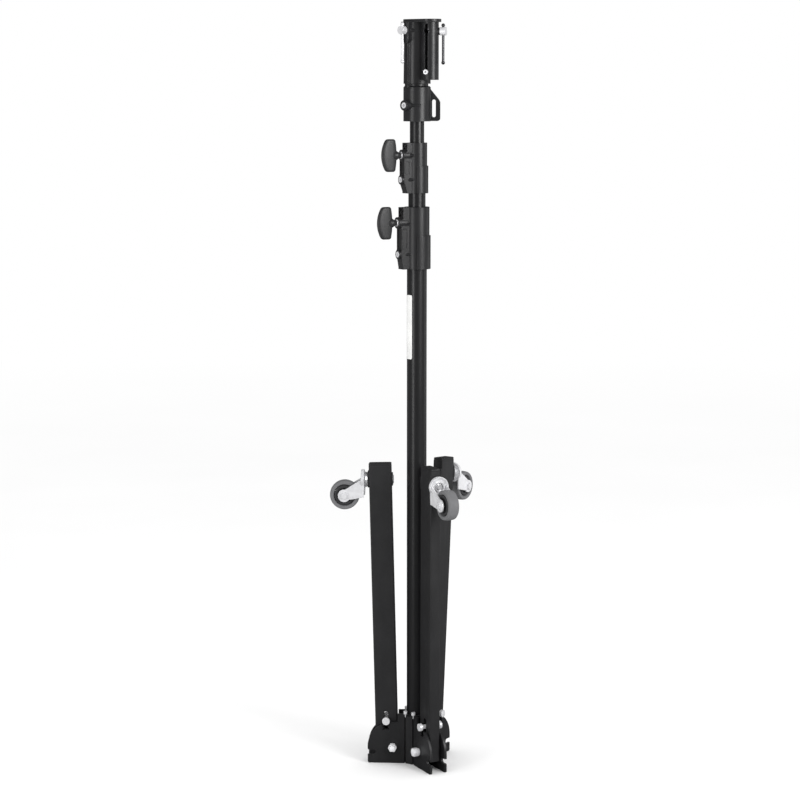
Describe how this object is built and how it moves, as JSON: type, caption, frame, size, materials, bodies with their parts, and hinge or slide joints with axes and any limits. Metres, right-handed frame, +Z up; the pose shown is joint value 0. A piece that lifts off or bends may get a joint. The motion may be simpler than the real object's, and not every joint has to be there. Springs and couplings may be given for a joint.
{
  "type": "studio stand",
  "caption": "Black studio lighting stand with a column, sliding risers, folding legs on swivel casters, wing-knob clamps and a stud socket head.",
  "frame": {"origin": "on the column's axis, on the floor under the base, with the legs folded up", "axes": "+Z up along the column, the first leg toward -X, the second toward +X and -Y, the third toward +X and +Y"},
  "size_m": [0.2503, 0.286, 1.322],
  "materials": {
    "tube_black": "semi-gloss black paint on steel tube",
    "leg_black": "satin black paint on steel tube",
    "plate_black": "satin black paint on steel plate",
    "cast_black": "satin black coat on cast aluminium",
    "zinc": "bright zinc plating",
    "knob_plastic": "matt black moulded plastic",
    "cap_plastic": "matt black plastic",
    "bush_plastic": "matt black plastic",
    "wheel_core": "black moulded plastic",
    "tyre_grey": "grey rubber",
    "spring_steel": "plain spring steel"
  },
  "bodies": {
    "base": {"column": "tube_black", "column_plug": "plate_black", "base_socket": "plate_black", "hub_gussets": "plate_black", "hub_pins": "zinc", "pivot_bolts": "zinc", "pivot_nuts": "zinc", "leg_bracket_1": "plate_black", "leg_bracket_2": "plate_black", "leg_bracket_3": "plate_black", "lower_clamp_body": "cast_black", "lower_clamp_bush": "bush_plastic", "lower_clamp_bolt": "zinc"},
    "lower_knob_body": {"lower_knob": "knob_plastic", "lower_knob_screw": "zinc"},
    "riser_1_body": {"riser_1": "tube_black", "upper_clamp_body": "cast_black", "upper_clamp_bush": "bush_plastic", "upper_clamp_bolt": "zinc"},
    "upper_knob_body": {"upper_knob": "knob_plastic", "upper_knob_screw": "zinc"},
    "riser_2_body": {"riser_2": "tube_black", "head": "cast_black", "head_bolt": "zinc"},
    "socket_screw_body": {"socket_screw": "zinc"},
    "socket_bar_body": {"socket_bar": "zinc"},
    "spigot_screw_body": {"spigot_screw": "zinc"},
    "spigot_bar_body": {"spigot_bar": "zinc"},
    "spigot_body": {"spigot": "zinc", "spigot_guide_screw": "zinc"},
    "leg_1": {"leg_tube_1": "leg_black", "leg_cap_1": "cap_plastic", "lock_spring_1": "spring_steel", "caster_strap_1": "plate_black", "caster_plate_1": "zinc"},
    "lock_pin_body_1": {"lock_pin_1": "zinc"},
    "caster_1": {"caster_fork_1": "zinc", "caster_axle_1": "zinc"},
    "wheel_1": {"caster_wheel_1": "wheel_core", "caster_tyre_1": "tyre_grey"},
    "leg_2": {"leg_tube_2": "leg_black", "leg_cap_2": "cap_plastic", "lock_spring_2": "spring_steel", "caster_strap_2": "plate_black", "caster_plate_2": "zinc"},
    "lock_pin_body_2": {"lock_pin_2": "zinc"},
    "caster_2": {"caster_fork_2": "zinc", "caster_axle_2": "zinc"},
    "wheel_2": {"caster_wheel_2": "wheel_core", "caster_tyre_2": "tyre_grey"},
    "leg_3": {"leg_tube_3": "leg_black", "leg_cap_3": "cap_plastic", "lock_spring_3": "spring_steel", "caster_strap_3": "plate_black", "caster_plate_3": "zinc"},
    "lock_pin_body_3": {"lock_pin_3": "zinc"},
    "caster_3": {"caster_fork_3": "zinc", "caster_axle_3": "zinc"},
    "wheel_3": {"caster_wheel_3": "wheel_core", "caster_tyre_3": "tyre_grey"}
  },
  "joints": [
    {"name": "lower_knob_turn", "type": "hinge", "parent": "base", "child": "lower_knob_body", "pos_m": [0, 0, 0.97241], "axis": [-0.8387, -0.5446, 0], "range_deg": [0, 720]},
    {"name": "riser_1_slide", "type": "slide", "parent": "base", "child": "riser_1_body", "axis": [0, 0, 1], "range_m": [0, 0.8]},
    {"name": "upper_knob_turn", "type": "hinge", "parent": "riser_1_body", "child": "upper_knob_body", "pos_m": [0, 0, 1.089], "axis": [-0.8387, -0.5446, 0], "range_deg": [0, 720]},
    {"name": "riser_2_slide", "type": "slide", "parent": "riser_1_body", "child": "riser_2_body", "axis": [0, 0, 1], "range_m": [0, 0.85]},
    {"name": "socket_screw_turn", "type": "hinge", "parent": "riser_2_body", "child": "socket_screw_body", "pos_m": [0, 0, 1.303], "axis": [-0.6561, -0.7547, 0], "range_deg": [0, 720]},
    {"name": "socket_bar_slide", "type": "slide", "parent": "socket_screw_body", "child": "socket_bar_body", "axis": [0, 0, 1], "range_m": [0, 0.0431]},
    {"name": "spigot_screw_turn", "type": "hinge", "parent": "riser_2_body", "child": "spigot_screw_body", "pos_m": [0.02374, -0.02292, 1.301], "axis": [0.9781, -0.2079, 0], "range_deg": [0, 720]},
    {"name": "spigot_bar_slide", "type": "slide", "parent": "spigot_screw_body", "child": "spigot_bar_body", "axis": [0, 0, 1], "range_m": [0, 0.0431]},
    {"name": "spigot_slide", "type": "slide", "parent": "riser_2_body", "child": "spigot_body", "axis": [0, 0, 1], "range_m": [0, 0.064]},
    {"name": "leg_fold_1", "type": "hinge", "parent": "base", "child": "leg_1", "pos_m": [-0.042, 0, 0.0305], "axis": [0, -1, 0], "range_deg": [0, 88.6]},
    {"name": "lock_pin_slide_1", "type": "slide", "parent": "leg_1", "child": "lock_pin_body_1", "axis": [-0.0244, 0, 0.9997], "range_m": [-0.01249, 0.011], "deforming": ["lock_spring_1"]},
    {"name": "caster_swivel_1", "type": "hinge", "parent": "leg_1", "child": "caster_1", "pos_m": [-0.08436, 0, 0.51561], "axis": [-0.9997, 0, -0.0244], "continuous": true},
    {"name": "wheel_spin_1", "type": "hinge", "parent": "caster_1", "child": "wheel_1", "pos_m": [-0.128, 0, 0.48794], "axis": [0, -1, 0], "continuous": true},
    {"name": "leg_fold_2", "type": "hinge", "parent": "base", "child": "leg_2", "pos_m": [0.021, -0.03637, 0.0305], "axis": [0.866, 0.5, 0], "range_deg": [0, 89.8]},
    {"name": "lock_pin_slide_2", "type": "slide", "parent": "leg_2", "child": "lock_pin_body_2", "axis": [0.0017, -0.003, 1], "range_m": [-0.01249, 0.011], "deforming": ["lock_spring_2"]},
    {"name": "caster_swivel_2", "type": "hinge", "parent": "leg_2", "child": "caster_2", "pos_m": [0.0371, -0.06426, 0.51639], "axis": [0.5, -0.866, -0.0035], "continuous": true},
    {"name": "wheel_spin_2", "type": "hinge", "parent": "caster_2", "child": "wheel_2", "pos_m": [0.0592, -0.10254, 0.48964], "axis": [0.866, 0.5, 0], "continuous": true},
    {"name": "leg_fold_3", "type": "hinge", "parent": "base", "child": "leg_3", "pos_m": [0.021, 0.03637, 0.0305], "axis": [-0.866, 0.5, 0], "range_deg": [0, 85.8]},
    {"name": "lock_pin_slide_3", "type": "slide", "parent": "leg_3", "child": "lock_pin_body_3", "axis": [0.0366, 0.0634, 0.9973], "range_m": [-0.01249, 0.011], "deforming": ["lock_spring_3"]},
    {"name": "caster_swivel_3", "type": "hinge", "parent": "leg_3", "child": "caster_3", "pos_m": [0.05401, 0.09354, 0.51296], "axis": [0.4987, 0.8637, -0.0732], "continuous": true},
    {"name": "wheel_spin_3", "type": "hinge", "parent": "caster_3", "child": "wheel_3", "pos_m": [0.07512, 0.13012, 0.48319], "axis": [-0.866, 0.5, 0], "continuous": true}
  ]
}
